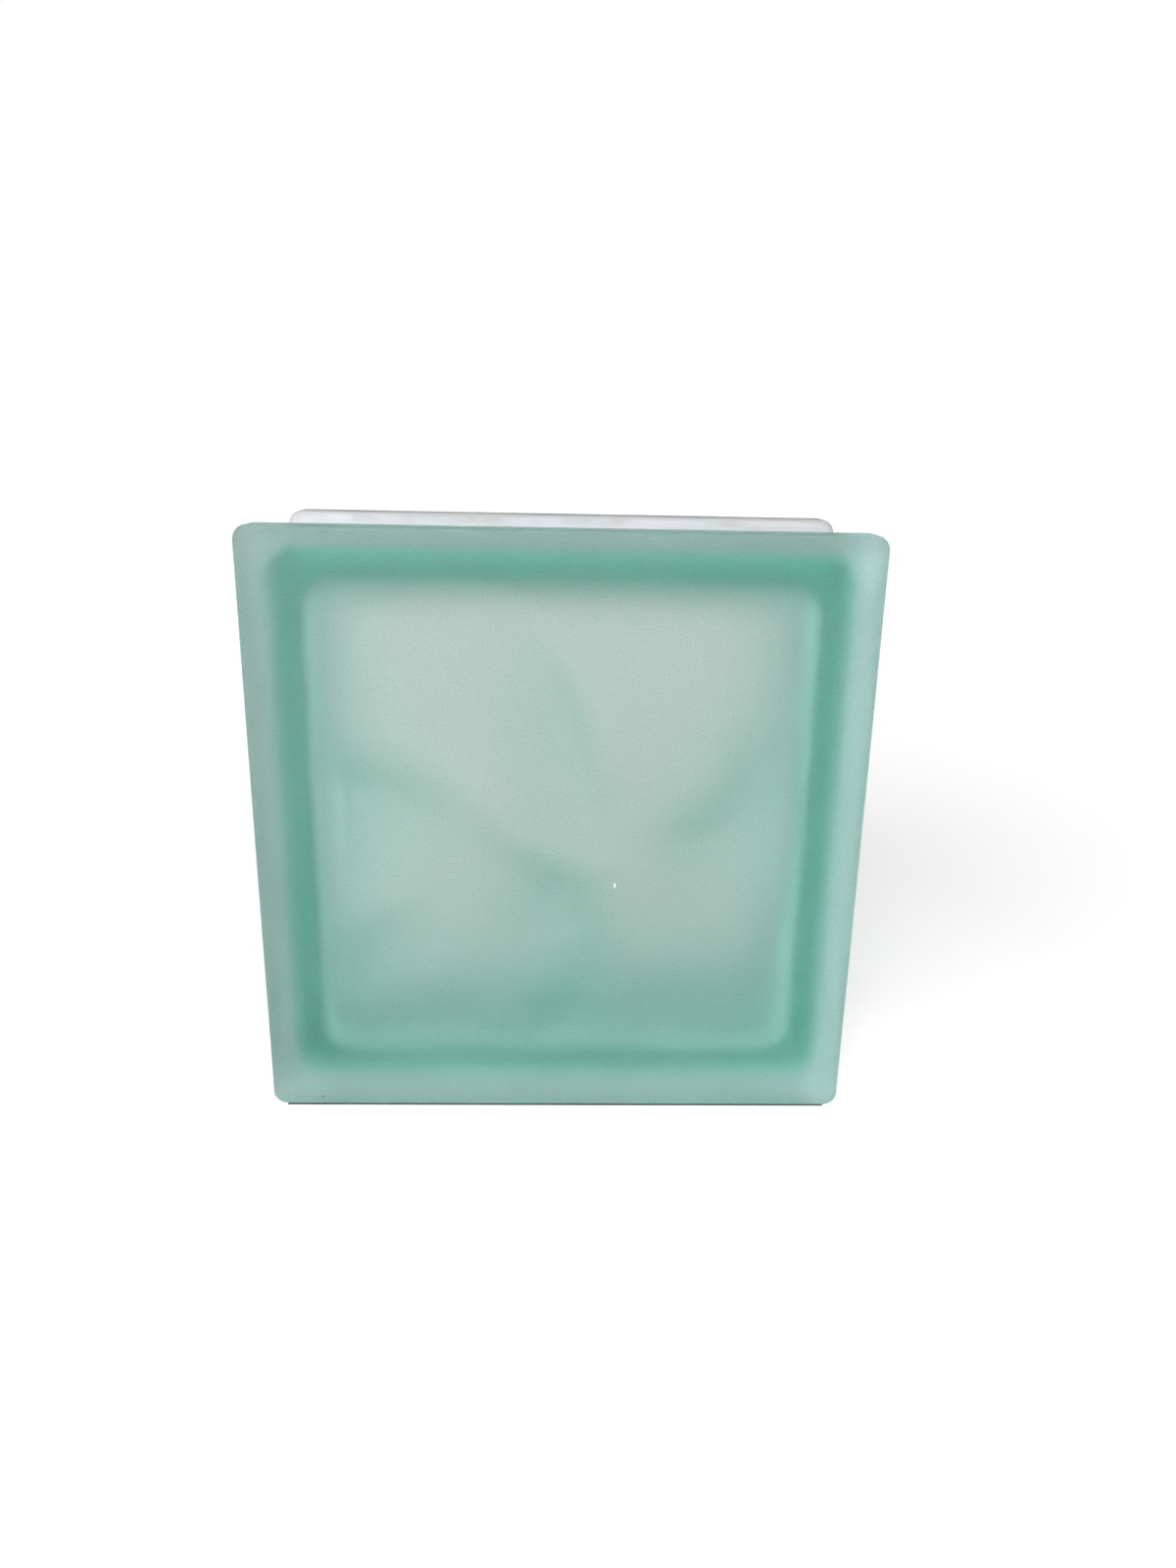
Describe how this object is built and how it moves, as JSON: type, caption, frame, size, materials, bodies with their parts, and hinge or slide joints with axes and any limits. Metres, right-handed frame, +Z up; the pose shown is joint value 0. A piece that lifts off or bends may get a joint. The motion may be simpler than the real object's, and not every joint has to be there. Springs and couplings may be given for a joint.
{
  "type": "hollow glass block",
  "caption": "Square hollow block of satin sea-green glass with wave-pressed plates, side channels for mortar and white-coated sides, for see-through walls.",
  "frame": {"origin": "centre of the footprint, on the plane that the block stands on", "axes": "+X to the right seen from the front, -Y out of the front face, +Z up along the block's height"},
  "size_m": [0.19, 0.08, 0.19],
  "materials": {
    "green_glass": "satin outside, fire-polished waves inside",
    "side_coat": "matt white coat, brushed on"
  },
  "bodies": {
    "root": {"front_half": "green_glass", "rear_half": "green_glass", "edge_coating": "side_coat"}
  },
  "joints": []
}
